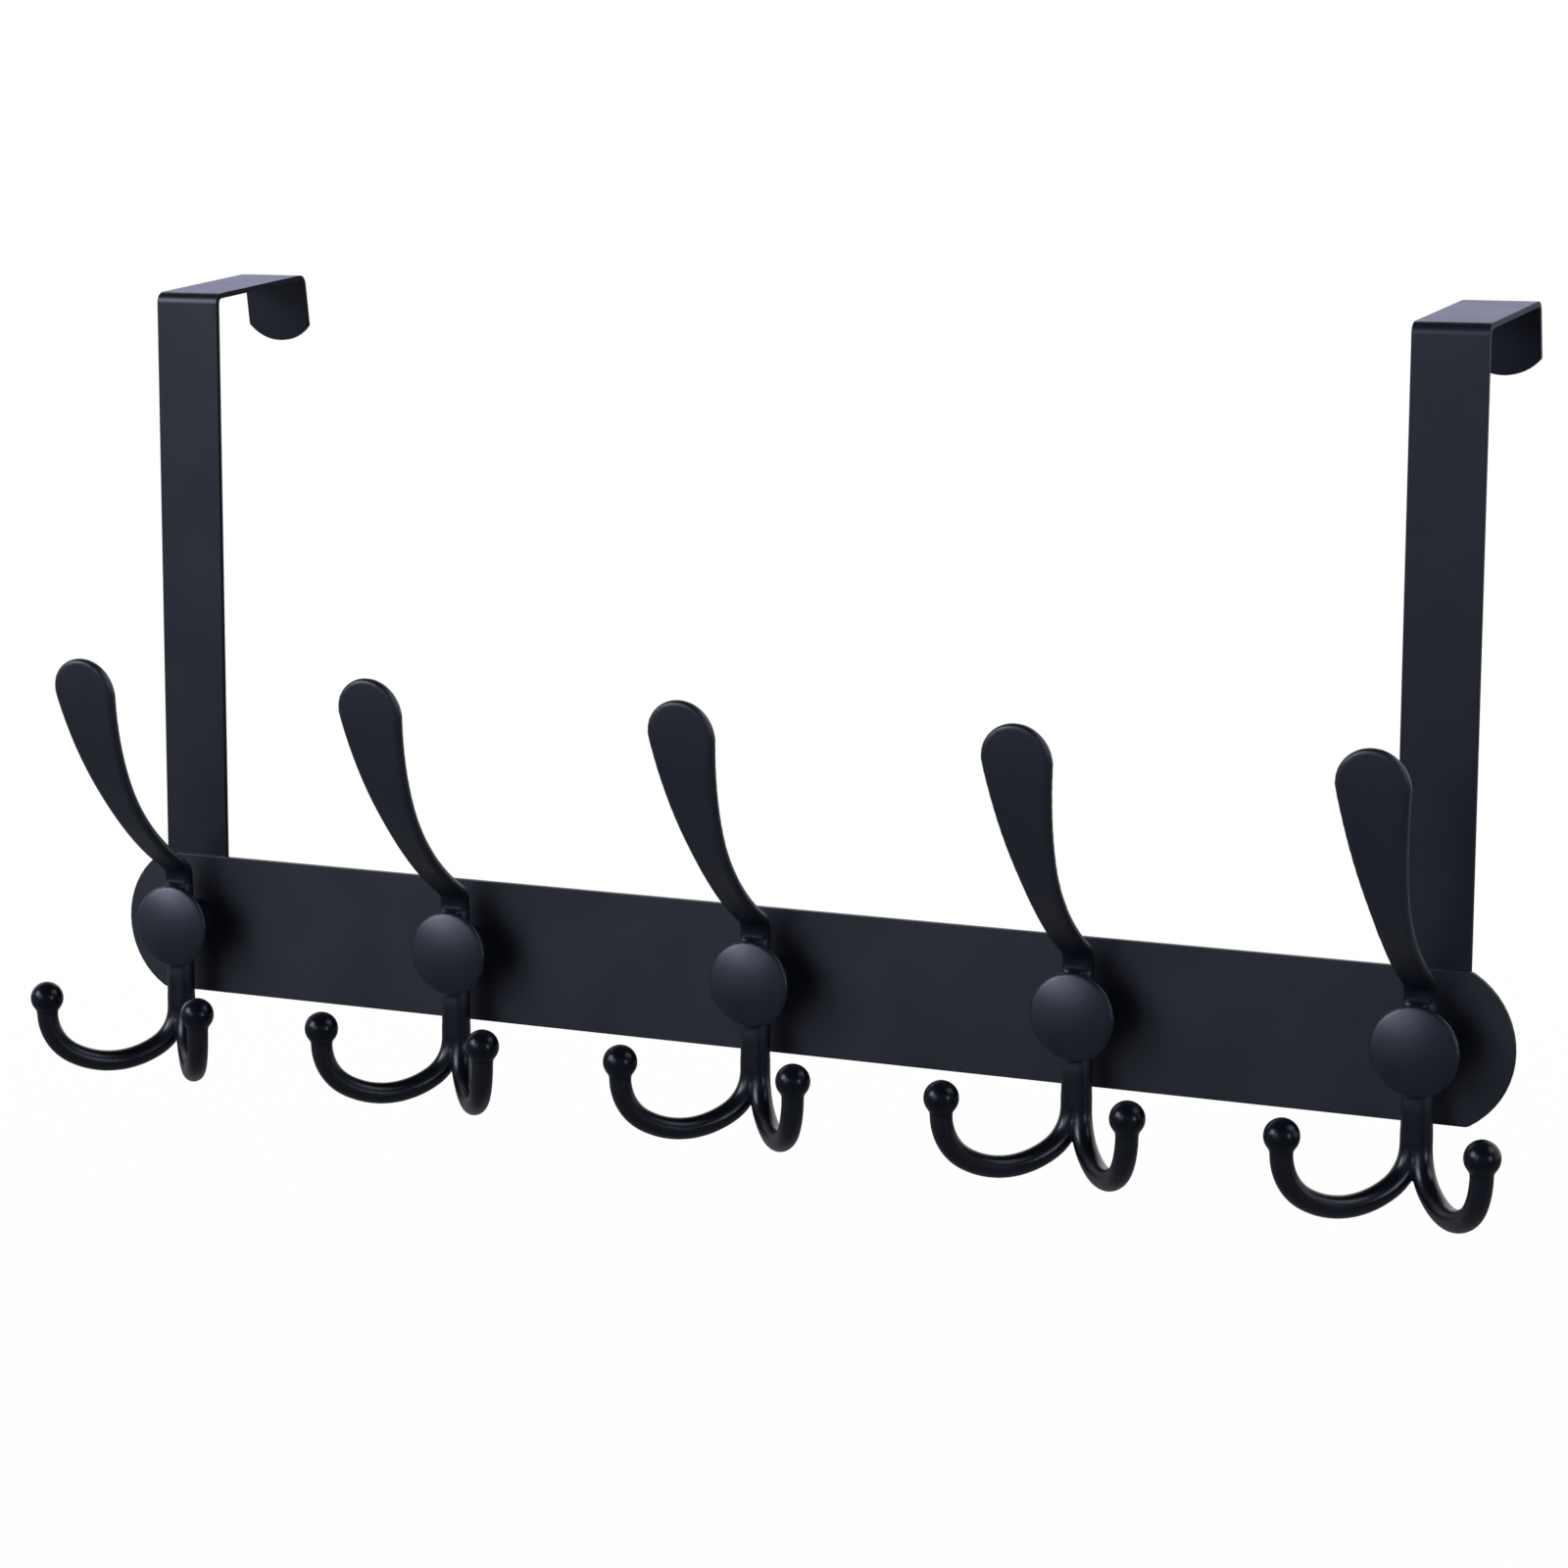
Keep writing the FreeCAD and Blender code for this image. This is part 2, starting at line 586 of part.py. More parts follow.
def add_bar(body, name, width, thickness, base, length):
    """Upright bar of slot section behind the disc."""
    section = new_sketch(body, "XY_Plane", f"{name}Section", offset=base)
    depth = value("bar_depth")
    radius = value(thickness) / 2
    half = value(width) / 2 - radius
    front = line(section, (-half, -depth - radius), (half, -depth - radius))
    right = arc(section, (half, -depth), radius, -90, 90)
    back = line(section, (half, -depth + radius), (-half, -depth + radius))
    left = arc(section, (-half, -depth), radius, 90, 270)
    tie(
        section,
        ("Tangent", front, 2, right, 1),
        ("Tangent", right, 2, back, 1),
        ("Tangent", back, 2, left, 1),
        ("Tangent", left, 2, front, 1),
        ("Horizontal", front),
        ("Symmetric", right, 3, left, 3, -2),
    )
    fix(section, "Radius", right, by=f"{thickness} / 2")
    fix(section, "DistanceX", left, 3, right, 3, by=f"{width} - {thickness}")
    fix(section, "DistanceY", right, 3, -1, 1, by="bar_depth")
    return pad(body, section, name, length)


def add_prong(body, side):
    """Round prong: out of the stem, then three arcs of 60 degrees, and a ball; side is 1 or -1."""
    across = f"{side} * prong_root_offset"
    profile = new_sketch(body, "XY_Plane", "ProngSection", offset="-1 * prong_start_drop")
    centre = point(value(across), -value("bar_depth"))
    circle = profile.addGeometry(Part.Circle(centre, Vector(0, 0, 1), value("prong_diameter / 2")), False)
    fix(profile, "DistanceX", -1, 1, circle, 3, by=across)
    fix(profile, "DistanceY", circle, 3, -1, 1, by="bar_depth")
    fix(profile, "Diameter", circle, by="prong_diameter")

    spine = new_sketch(body, "XZ_Plane", "ProngRun", offset="bar_depth", turn=f"{side} * prong_spread - 90")
    spine.setExpression("AttachmentOffset.Base.x", sized(across))
    spine.setExpression("AttachmentOffset.Base.y", sized("-1 * prong_root_drop"))
    first = value("prong_root_radius")
    last = value("prong_end_radius")
    reach = value("ball_reach")
    middle = value("ball_reach - prong_root_radius / 2 - prong_end_radius / 2")
    third = math.radians(60)
    joint = (first - first * math.cos(third), -first * math.sin(third))
    middle_centre = (joint[0] + middle * math.cos(third), joint[1] + middle * math.sin(third))
    last_centre = (reach - last, (last - first) * math.sin(third))
    lead = line(spine, (0, value("prong_root_drop - prong_start_drop")), (0, 0))
    root_arc = arc(spine, (first, 0), first, 180, 240)
    middle_arc = arc(spine, middle_centre, middle, 240, 300)
    end_arc = arc(spine, last_centre, last, 300, 360)
    straight = line(spine, (reach, last_centre[1]), (reach, value("prong_root_drop - ball_drop")))
    tie(
        spine,
        ("Tangent", lead, 2, root_arc, 1),
        ("Coincident", lead, 2, -1, 1),
        ("Vertical", lead),
        ("Tangent", root_arc, 2, middle_arc, 1),
        ("Tangent", middle_arc, 2, end_arc, 1),
        ("Tangent", end_arc, 2, straight, 1),
        ("Vertical", straight),
    )
    fix(spine, "DistanceY", lead, 2, lead, 1, by="prong_root_drop - prong_start_drop")
    fix(spine, "Radius", root_arc, by="prong_root_radius")
    fix(spine, "Radius", end_arc, by="prong_end_radius")
    fix(spine, "DistanceX", -1, 1, root_arc, 2, by="prong_root_radius / 2")
    fix(spine, "DistanceX", end_arc, 1, straight, 2, by="prong_end_radius / 2")
    fix(spine, "DistanceX", -1, 1, straight, 2, by="ball_reach")
    fix(spine, "DistanceY", -1, 1, straight, 2, by="prong_root_drop - ball_drop")
    pipe = body.newObject("PartDesign::AdditivePipe", "Prong")
    pipe.Profile = profile
    pipe.Spine = spine
    body.Tip = pipe
    doc.recompute()

    ball = body.newObject("PartDesign::AdditiveSphere", "ProngBall")
    ball.AttachmentSupport = [(origin_feature(body, "XY_Plane"), "")]
    ball.MapMode = "FlatFace"
    ball.setExpression("Radius", sized("ball_diameter / 2"))
    reach_across = f"{side} * ( prong_root_offset + ball_reach * sin(prong_spread) )"
    ball.setExpression("AttachmentOffset.Base.x", sized(reach_across))
    ball.setExpression("AttachmentOffset.Base.y", sized("-1 * bar_depth - ball_reach * cos(prong_spread)"))
    ball.setExpression("AttachmentOffset.Base.z", sized("-1 * ball_drop"))
    body.Tip = ball
    doc.recompute()


def make_hook(label, place):
    """One casting: paddle blade, disc and boss, stem, and two prongs that end in balls."""
    body = new_body(label, x=place, y=RAIL_FRONT, z=AXIS_HEIGHT)
    add_blade(body)
    add_core(body)
    add_bar(body, "Neck", "neck_bar_width", "neck_bar_thickness", "0 * bar_depth", "ledge_height")
    add_bar(body, "Stem", "stem_width", "stem_thickness", "-1 * prong_root_drop", "prong_root_drop - disc_rim")
    add_prong(body, 1)
    add_prong(body, -1)
    hole = new_sketch(body, "XZ_Plane", "ThreadHole")
    circle = hole.addGeometry(Part.Circle(point(0, 0), Vector(0, 0, 1), value("screw_diameter / 2")), False)
    tie(hole, ("Coincident", circle, 3, -1, 1))
    fix(hole, "Diameter", circle, by="screw_diameter + thread_clearance")
    before = body.Shape.Volume
    bore = body.newObject("PartDesign::Pocket", "ThreadBore")
    bore.Profile = hole
    bore.Reversed = True
    bore.setExpression("Length", sized("thread_hole_depth"))
    body.Tip = bore
    doc.recompute()
    if not bore.Shape.Volume < before:
        raise RuntimeError("ThreadBore cuts nothing")
    return body


def screw_profile(body, head_radius, head_height, length, tapered):
    """Half section of a screw whose head sits at the seat and whose shank runs forwards."""
    section = new_sketch(body, "YZ_Plane", "ScrewSection")
    shank = value("screw_diameter / 2")
    head = value(head_radius)
    rise = value(head_height)
    end = -value(length)
    axis = line(section, (end, 0), (rise, 0))
    cap = line(section, (rise, 0), (rise, head))
    parts = [axis, cap]
    if tapered:
        parts.append(line(section, (rise, head), (0, shank)))
    else:
        parts.append(line(section, (rise, head), (0, head)))
        parts.append(line(section, (0, head), (0, shank)))
    parts.append(line(section, (0, shank), (end, shank)))
    parts.append(line(section, (end, shank), (end, 0)))
    for i in range(len(parts)):
        tie(section, ("Coincident", parts[i], 2, parts[(i + 1) % len(parts)], 1))
    tie(section, ("Vertical", cap), ("Vertical", parts[-1]), ("Horizontal", parts[-2]))
    tie(section, ("PointOnObject", axis, 1, -1), ("PointOnObject", axis, 2, -1), ("PointOnObject", parts[-2], 1, -2))
    if not tapered:
        tie(section, ("Horizontal", parts[2]), ("Vertical", parts[3]))
    fix(section, "DistanceX", -1, 1, axis, 2, by=head_height)
    fix(section, "DistanceY", cap, 1, cap, 2, by=head_radius)
    fix(section, "DistanceY", parts[-1], 2, parts[-1], 1, by="screw_diameter / 2")
    fix(section, "DistanceX", axis, 1, -1, 1, by=length)
    return turned(body, "PartDesign::Revolution", section, "Screw", axis=("H_Axis",))


def make_centre_screws():
    """Low flat head screws of the three middle hooks; their heads stay within the bracket's thickness."""
    body = new_body("centre_screws", x=HOOK_PLACES["hook_2"], y="-1 * strap_thickness", z=AXIS_HEIGHT)
    screw = screw_profile(
        body,
        "flat_head_diameter / 2",
        "flat_head_height",
        "rail_thickness + screw_engagement",
        False,
    )
    row = body.newObject("PartDesign::LinearPattern", "ScrewRow")
    row.Originals = [screw]
    row.Direction = (origin_feature(body, "X_Axis"), [""])
    row.setExpression("Length", sized(f"2 * {INNER_PLACE}"))
    row.Occurrences = 3
    body.Tip = row
    doc.recompute()
    return body


def make_end_screws():
    """Countersunk screws of the two end hooks, flush with the back of the brackets."""
    body = new_body(
        "end_screws",
        x=HOOK_PLACES["hook_1"],
        y="-1 * countersunk_head_diameter / 2 + screw_diameter / 2",
        z=AXIS_HEIGHT,
    )
    screw = screw_profile(
        body,
        "countersunk_head_diameter / 2",
        "countersunk_head_diameter / 2 - screw_diameter / 2",
        "strap_thickness + rail_thickness + screw_engagement"
        " - countersunk_head_diameter / 2 + screw_diameter / 2",
        True,
    )
    row = body.newObject("PartDesign::LinearPattern", "ScrewPair")
    row.Originals = [screw]
    row.Direction = (origin_feature(body, "X_Axis"), [""])
    row.setExpression("Length", sized(f"2 * {END_PLACE}"))
    row.Occurrences = 2
    body.Tip = row
    doc.recompute()
    return body


bodies = [make_rail()]
bodies.append(make_bracket("door_bracket_left", HOOK_PLACES["hook_1"]))
bodies.append(make_bracket("door_bracket_right", HOOK_PLACES["hook_5"]))
for hook_label, hook_place in HOOK_PLACES.items():
    bodies.append(make_hook(hook_label, hook_place))
bodies.append(make_centre_screws())
bodies.append(make_end_screws())
doc.recompute()

for item in doc.Objects:
    if "Invalid" in item.State or "Error" in item.State:
        raise RuntimeError(f"{item.Label} failed: {item.State}")
for body in bodies:
    if body.Shape.isNull() or not body.Shape.isValid():
        raise RuntimeError(f"{body.Label} has no valid shape")

os.makedirs("parts", exist_ok=True)
for body in bodies:
    body.Shape.exportStep(f"parts/{body.Label}.step")
    box = body.Shape.BoundBox
    print(body.Label, len(body.Shape.Solids), "solids", round(body.Shape.Volume), "mm3")
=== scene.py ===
import math

import bmesh
import bpy
from mathutils import Matrix, Vector
from mathutils.geometry import tessellate_polygon


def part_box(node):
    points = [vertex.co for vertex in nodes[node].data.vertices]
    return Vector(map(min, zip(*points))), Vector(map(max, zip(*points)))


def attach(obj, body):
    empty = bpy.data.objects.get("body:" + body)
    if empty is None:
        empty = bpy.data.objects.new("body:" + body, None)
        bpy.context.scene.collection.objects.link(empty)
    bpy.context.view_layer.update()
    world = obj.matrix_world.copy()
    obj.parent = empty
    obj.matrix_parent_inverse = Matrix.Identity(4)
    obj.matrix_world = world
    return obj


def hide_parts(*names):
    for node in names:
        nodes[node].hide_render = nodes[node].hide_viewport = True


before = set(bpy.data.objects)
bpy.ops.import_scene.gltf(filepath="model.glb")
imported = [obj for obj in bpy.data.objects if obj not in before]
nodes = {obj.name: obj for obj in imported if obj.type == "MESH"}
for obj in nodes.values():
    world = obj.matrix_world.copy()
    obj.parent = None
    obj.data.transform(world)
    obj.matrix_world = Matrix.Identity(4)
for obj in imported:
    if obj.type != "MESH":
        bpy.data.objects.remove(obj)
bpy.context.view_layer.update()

# Row frame in metres: the origin is the door's top front edge, hooks towards -Y, up is +Z.
RAIL_FRONT_Y = -0.003
RAIL_BACK_Y = -0.0015
COUNTERSINK_Y = -0.0016
HOOK_AXIS_Z = -0.1798
LEDGE_Z = -0.1678
FLOOR_Z = -0.34
FLOOR_HALF = 4.0

# Camera, at the photograph's viewing angle
AZIMUTH = math.radians(25.43)
ELEVATION = math.radians(8.97)
ROLL = math.radians(0.225)
DISTANCE = 1.10624
TARGET = Vector((0.004504, -0.003, -0.12646))
SENSOR_MM = 36
LENS_MM = 94.04
CLIP = (0.05, 20)

# Area lights, aimed at the rack's middle: place, width, height, power
LIGHT_TARGET = (0.0, 0.0, -0.14)
LIGHTS = {
    "key_left": ((-2.17, -1.96, 1.16), 1.7, 1.3, 56),
    "front_soft": ((-1.16, -2.87, 0.69), 1.8, 1.2, 16),
    "front_right": ((2.37, -1.01, 0.22), 0.6, 0.7, 8),
    "right_back": ((1.54, 0.42, 1.38), 1.3, 0.9, 8),
}

# World: strength of the fill by the ray's rise, and where glossy rays meet the white backdrop
FILL_COLOUR = (0.82, 0.90, 1.0, 1)
FILL_RISE = (0.3, 0.75)
FILL_STRENGTH = (0.30, 0.05)
BACKDROP_START = (0.0, 0.35)
BACKDROP_TOP = (0.50, 0.75)
WHITE = (1, 1, 1, 1)

# Floor: how much of it is plain white for the camera near the rack, and how that and its mirror image grow
FLOOR_DARK = (0.40, 0.41, 0.42)
FLOOR_LIGHT = (0.43, 0.44, 0.45)
FLOOR_CLOUD = 3.0
NEAR_WHITE = 0.99
FAR_REACH = (0.25, 1.6)
MIRROR_REACH = (0.3, 1.5)
MIRROR_SHARE = 0.3

# Black coats: scales of the noise that moves their tone and grain, heights of the grain, and the haze
CLOUD_SCALE = 45.0
SPECK_SCALE = 1400.0
WAVE_SCALE = 260.0
PEEL_HEIGHT = 0.00006
WAVE_HEIGHT = 0.0001
WAVE_SHARE = 0.6
HAZE_ROUGHNESS = 0.25
HAZE_TINT = (0.45, 0.45, 1.0, 1)
# Painted shade on sheet sides facing +X: how far they face that way, and the share of reflection left there.
SIDE_FACING = (0.35, 0.85)
SIDE_PAINTED_SHADE_GLOSS = 0.1

# Coat of a casting at x = 0, by height and by the distance from the disc's and a ball's centre.
# The ball's centre is given without signs, so that it stands for both balls.
# Prongs below these heights: smoother, and painted shade as a darker tone and a weaker reflection.
PRONG_LEVELS = (-0.197, -0.192)
PRONG_PAINTED_SHADE_TONE = 0.5
PRONG_ROUGHNESS = 0.66
PRONG_PAINTED_SHADE_GLOSS = 0.76
BALL_CENTRE = (0.02556, 0.04124, 0.1985)
BALL_REACH = (0.0044, 0.0060)
BALL_ROUGHNESS = 0.72
# Painted shade on the balls: their reflection is weakened to this share.
BALL_PAINTED_SHADE_GLOSS = 0.55
DISC_CENTRE = (0.0, -0.0165, HOOK_AXIS_Z)
DISC_REACH = (0.0121, 0.0128)
DISC_ROUGHNESS = 0.86
# Painted shade on the neck above the ledge, where the blade shades it, as a much weaker reflection; painted
# light on the blade, as a stronger reflection.
NECK_FOOT = (LEDGE_Z - 0.0006, LEDGE_Z + 0.0006)
NECK_TOP = (LEDGE_Z + 0.0025, LEDGE_Z + 0.0110)
NECK_PAINTED_SHADE_GLOSS = 0.2
BLADE_PAINTED_LIGHT_GLOSS = 1.17

# Meshes of the castings: remeshing, smoothing, thinning, and the seat and bore that stay sharp
WELD_DISTANCE = 0.000002
VOXEL = 0.00045
SMOOTHING = 0.5
SMOOTHING_ROUNDS = 8
KEPT_SHARE = 0.7
SEAT_DEPTH = 0.0006
BORE_DEPTH = 0.009
BORE_RADIUS = 0.003

# Screws, and the cross recess in their heads
SHANK_RADIUS = 0.002
TIP_BEVEL = 0.0005
SCREW_SIDES = 48
RECESS_REACH = 0.0020
RECESS_HALF_WIDTH = 0.00048
RECESS_DEPTH = 0.0016
RECESS_BULGE = 1.04
RECESS_FOOT = 0.5


def make_camera():
    back = Vector((
        math.sin(AZIMUTH) * math.cos(ELEVATION),
        -math.cos(AZIMUTH) * math.cos(ELEVATION),
        math.sin(ELEVATION),
    ))
    level = Vector((math.cos(AZIMUTH), math.sin(AZIMUTH), 0))
    upright = back.cross(level)
    right = level * math.cos(ROLL) + upright * math.sin(ROLL)
    up = upright * math.cos(ROLL) - level * math.sin(ROLL)
    data = bpy.data.cameras.new("camera")
    data.sensor_fit = "AUTO"
    data.sensor_width = SENSOR_MM
    data.lens = LENS_MM
    data.clip_start, data.clip_end = CLIP
    camera = bpy.data.objects.new("camera", data)
    place = TARGET + back * DISTANCE
    camera.matrix_world = Matrix((
        (right.x, up.x, back.x, place.x),
        (right.y, up.y, back.y, place.y),
        (right.z, up.z, back.z, place.z),
        (0, 0, 0, 1),
    ))
    bpy.context.scene.collection.objects.link(camera)
    bpy.context.scene.camera = camera


# Node helpers

def add(tree, kind, **settings):
    node = tree.nodes.new(kind)
    for key, setting in settings.items():
        setattr(node, key, setting)
    return node


def join(tree, source, target):
    tree.links.new(source, target)


def new_material(name):
    material = bpy.data.materials.new(name)
    material.use_nodes = True
    tree = material.node_tree
    tree.nodes.clear()
    return material, tree


def new_surface(name):
    """A material with a principled surface, and the object's own coordinates."""
    material, tree = new_material(name)
    output = add(tree, "ShaderNodeOutputMaterial")
    surface = add(tree, "ShaderNodeBsdfPrincipled")
    join(tree, surface.outputs["BSDF"], output.inputs["Surface"])
    place = add(tree, "ShaderNodeTexCoord").outputs["Object"]
    return material, tree, surface.inputs, place


def axes_of(tree, vector):
    split = add(tree, "ShaderNodeSeparateXYZ")
    join(tree, vector, split.inputs["Vector"])
    return split.outputs


def noise(tree, place, scale, detail=3.0, roughness=0.55):
    node = add(tree, "ShaderNodeTexNoise")
    node.inputs["Scale"].default_value = scale
    node.inputs["Detail"].default_value = detail
    node.inputs["Roughness"].default_value = roughness
    join(tree, place, node.inputs["Vector"])
    return node.outputs["Fac"]


def ranged(tree, source, start, stop, low, high, shape):
    """Maps a value between two points onto a range of numbers."""
    node = add(tree, "ShaderNodeMapRange", interpolation_type=shape)
    node.inputs["From Min"].default_value = start
    node.inputs["From Max"].default_value = stop
    node.inputs["To Min"].default_value = low
    node.inputs["To Max"].default_value = high
    join(tree, source, node.inputs["Value"])
    return node.outputs["Result"]


def smooth_step(tree, source, start, stop, low=0.0, high=1.0):
    return ranged(tree, source, start, stop, low, high, "SMOOTHSTEP")


def spread(tree, factor, low, high, start=0.3, stop=0.7):
    return ranged(tree, factor, start, stop, low, high, "LINEAR")


def blend_colours(tree, factor, first, second, start=0.3, stop=0.7):
    node = add(tree, "ShaderNodeValToRGB")
    node.color_ramp.elements[0].position = start
    node.color_ramp.elements[0].color = (*first, 1)
    node.color_ramp.elements[1].position = stop
    node.color_ramp.elements[1].color = (*second, 1)
    join(tree, factor, node.inputs["Fac"])
    return node.outputs["Color"]


def bumped(tree, height, strength, distance, normal=None):
    node = add(tree, "ShaderNodeBump")
    node.inputs["Strength"].default_value = strength
    node.inputs["Distance"].default_value = distance
    join(tree, height, node.inputs["Height"])
    if normal is not None:
        join(tree, normal, node.inputs["Normal"])
    return node.outputs["Normal"]


def softened(tree, radius, samples):
    bevel = add(tree, "ShaderNodeBevel", samples=samples)
    bevel.inputs["Radius"].default_value = radius
    return bevel.outputs["Normal"]


def distance(tree, place, centre):
    node = add(tree, "ShaderNodeVectorMath", operation="DISTANCE")
    join(tree, place, node.inputs[0])
    node.inputs[1].default_value = centre
    return node.outputs["Value"]


def maths(tree, operation, *items):
    node = add(tree, "ShaderNodeMath", operation=operation)
    for socket, item in zip(node.inputs, items):
        if isinstance(item, float):
            socket.default_value = item
        else:
            join(tree, item, socket)
    return node.outputs["Value"]


# Materials

def cast_by_place(tree, place, tone, rough, gloss):
    """Tone, roughness and gloss of a casting: smoother prongs, balls and disc; painted shade as a darker
    tone on the prongs and a weaker reflection on the prongs, balls and neck; painted light as a stronger
    reflection on the blade.
    """
    height = axes_of(tree, place)["Z"]
    rough = maths(tree, "MULTIPLY", rough, smooth_step(tree, height, *PRONG_LEVELS, PRONG_ROUGHNESS, 1.0))
    # Painted shade: the prongs' base colour is darker below the prong levels.
    painted_prong_shade = add(tree, "ShaderNodeVectorMath", operation="SCALE")
    join(tree, tone, painted_prong_shade.inputs[0])
    join(tree, smooth_step(tree, height, *PRONG_LEVELS, PRONG_PAINTED_SHADE_TONE, 1.0), painted_prong_shade.inputs["Scale"])

    unsigned = add(tree, "ShaderNodeVectorMath", operation="ABSOLUTE")
    join(tree, place, unsigned.inputs[0])
    off_ball = distance(tree, unsigned.outputs["Vector"], BALL_CENTRE)
    rough = maths(tree, "MULTIPLY", rough, smooth_step(tree, off_ball, *BALL_REACH, BALL_ROUGHNESS, 1.0))
    off_disc = distance(tree, place, DISC_CENTRE)
    rough = maths(tree, "MULTIPLY", rough, smooth_step(tree, off_disc, *DISC_REACH, DISC_ROUGHNESS, 1.0))

    # Painted shade on the neck and painted light on the blade, by height.
    above = smooth_step(tree, height, *NECK_TOP, NECK_PAINTED_SHADE_GLOSS * gloss, BLADE_PAINTED_LIGHT_GLOSS * gloss)
    # Below the ledge the reflection stays; from the ledge up it drops to the neck's painted shade.
    below = smooth_step(tree, height, *NECK_FOOT, gloss, 0.0)
    # Painted shade: weaker reflection on the prongs and balls.
    painted_prong_ball_shade = maths(
        tree,
        "MULTIPLY",
        smooth_step(tree, height, *PRONG_LEVELS, PRONG_PAINTED_SHADE_GLOSS, 1.0),
        smooth_step(tree, off_ball, *BALL_REACH, BALL_PAINTED_SHADE_GLOSS, 1.0),
    )
    shine = maths(tree, "MAXIMUM", above, maths(tree, "MULTIPLY", below, painted_prong_ball_shade))
    return painted_prong_shade.outputs["Vector"], rough, shine


def black_coat(name, dark, light, gloss, tint, rough_range, grain, haze=0.0, edge=None):
    """Black coat baked on metal: uneven tone and gloss, and a fine orange peel.

    With an edge radius it is the coat of a sheet, with softened edges and painted shade, a much weaker
    reflection, on sides that face +X.
    Without one it is the coat of a casting, with painted shade on its prongs, balls and neck and painted
    light on its blade.
    """
    material, tree, sockets, place = new_surface(name)
    cloud = noise(tree, place, CLOUD_SCALE, 4.0)
    speck = noise(tree, place, SPECK_SCALE, 2.0)
    tone = blend_colours(tree, cloud, dark, light)
    rough = spread(tree, cloud, *rough_range)
    if edge is None:
        normal = None
        # Casting: painted shade on the prongs, balls and neck, and painted light on the blade, by place.
        tone, rough, shine = cast_by_place(tree, place, tone, rough, gloss)
    else:
        normal = softened(tree, edge, 6)
        # Painted shade: the reflection is turned down on sides that face +X.
        facing = axes_of(tree, add(tree, "ShaderNodeNewGeometry").outputs["True Normal"])["X"]
        shine = smooth_step(tree, facing, *SIDE_FACING, gloss, SIDE_PAINTED_SHADE_GLOSS * gloss)
    join(tree, tone, sockets["Base Color"])
    join(tree, rough, sockets["Roughness"])
    sockets["Specular IOR Level"].default_value = gloss
    join(tree, shine, sockets["Specular IOR Level"])
    sockets["Specular Tint"].default_value = (*tint, 1)
    sockets["Sheen Weight"].default_value = haze
    sockets["Sheen Roughness"].default_value = HAZE_ROUGHNESS
    sockets["Sheen Tint"].default_value = HAZE_TINT
    peel = bumped(tree, speck, grain, PEEL_HEIGHT, normal)
    wave = noise(tree, place, WAVE_SCALE, 2.0)
    join(tree, bumped(tree, wave, grain * WAVE_SHARE, WAVE_HEIGHT, peel), sockets["Normal"])
    return material


def zinc(name):
    """Zinc plated steel, with faint cloudy tone and fine turning lines."""
    material, tree, sockets, place = new_surface(name)
    cloud = noise(tree, place, 300.0, 4.0)
    fine = noise(tree, place, 4000.0, 2.0)
    join(tree, blend_colours(tree, cloud, (0.42, 0.43, 0.44), (0.60, 0.60, 0.59)), sockets["Base Color"])
    join(tree, spread(tree, cloud, 0.28, 0.42), sockets["Roughness"])
    sockets["Metallic"].default_value = 1.0
    join(tree, bumped(tree, fine, 0.2, 0.00003, softened(tree, 0.0002, 4)), sockets["Normal"])
    return material


def backdrop_material():
    """Pale floor, nearly white to the camera, with a faint shadow, and mirrored only behind the rack."""
    material, tree = new_material("pale_floor")
    output = add(tree, "ShaderNodeOutputMaterial")
    mix = add(tree, "ShaderNodeMixShader")
    diffuse = add(tree, "ShaderNodeBsdfDiffuse")
    place = add(tree, "ShaderNodeTexCoord").outputs["Object"]
    tone = blend_colours(tree, noise(tree, place, FLOOR_CLOUD), FLOOR_DARK, FLOOR_LIGHT)
    join(tree, tone, diffuse.inputs["Color"])
    glow = add(tree, "ShaderNodeEmission")
    glow.inputs["Color"].default_value = WHITE
    glow.inputs["Strength"].default_value = 1.0
    length = add(tree, "ShaderNodeVectorMath", operation="LENGTH")
    join(tree, place, length.inputs[0])
    far = smooth_step(tree, length.outputs["Value"], *FAR_REACH)
    white_share = maths(tree, "MULTIPLY_ADD", far, 1.0 - NEAR_WHITE, NEAR_WHITE)
    path = add(tree, "ShaderNodeLightPath").outputs
    seen = maths(tree, "MAXIMUM", path["Is Camera Ray"], path["Is Transmission Ray"])
    behind = smooth_step(tree, axes_of(tree, place)["Y"], *MIRROR_REACH)
    mirrored = maths(tree, "MULTIPLY", path["Is Glossy Ray"], maths(tree, "MULTIPLY", behind, MIRROR_SHARE))
    share = maths(tree, "MAXIMUM", maths(tree, "MULTIPLY", seen, white_share), mirrored)
    join(tree, share, mix.inputs["Fac"])
    join(tree, diffuse.outputs["BSDF"], mix.inputs[1])
    join(tree, glow.outputs["Emission"], mix.inputs[2])
    join(tree, mix.outputs["Shader"], output.inputs["Surface"])
    return material


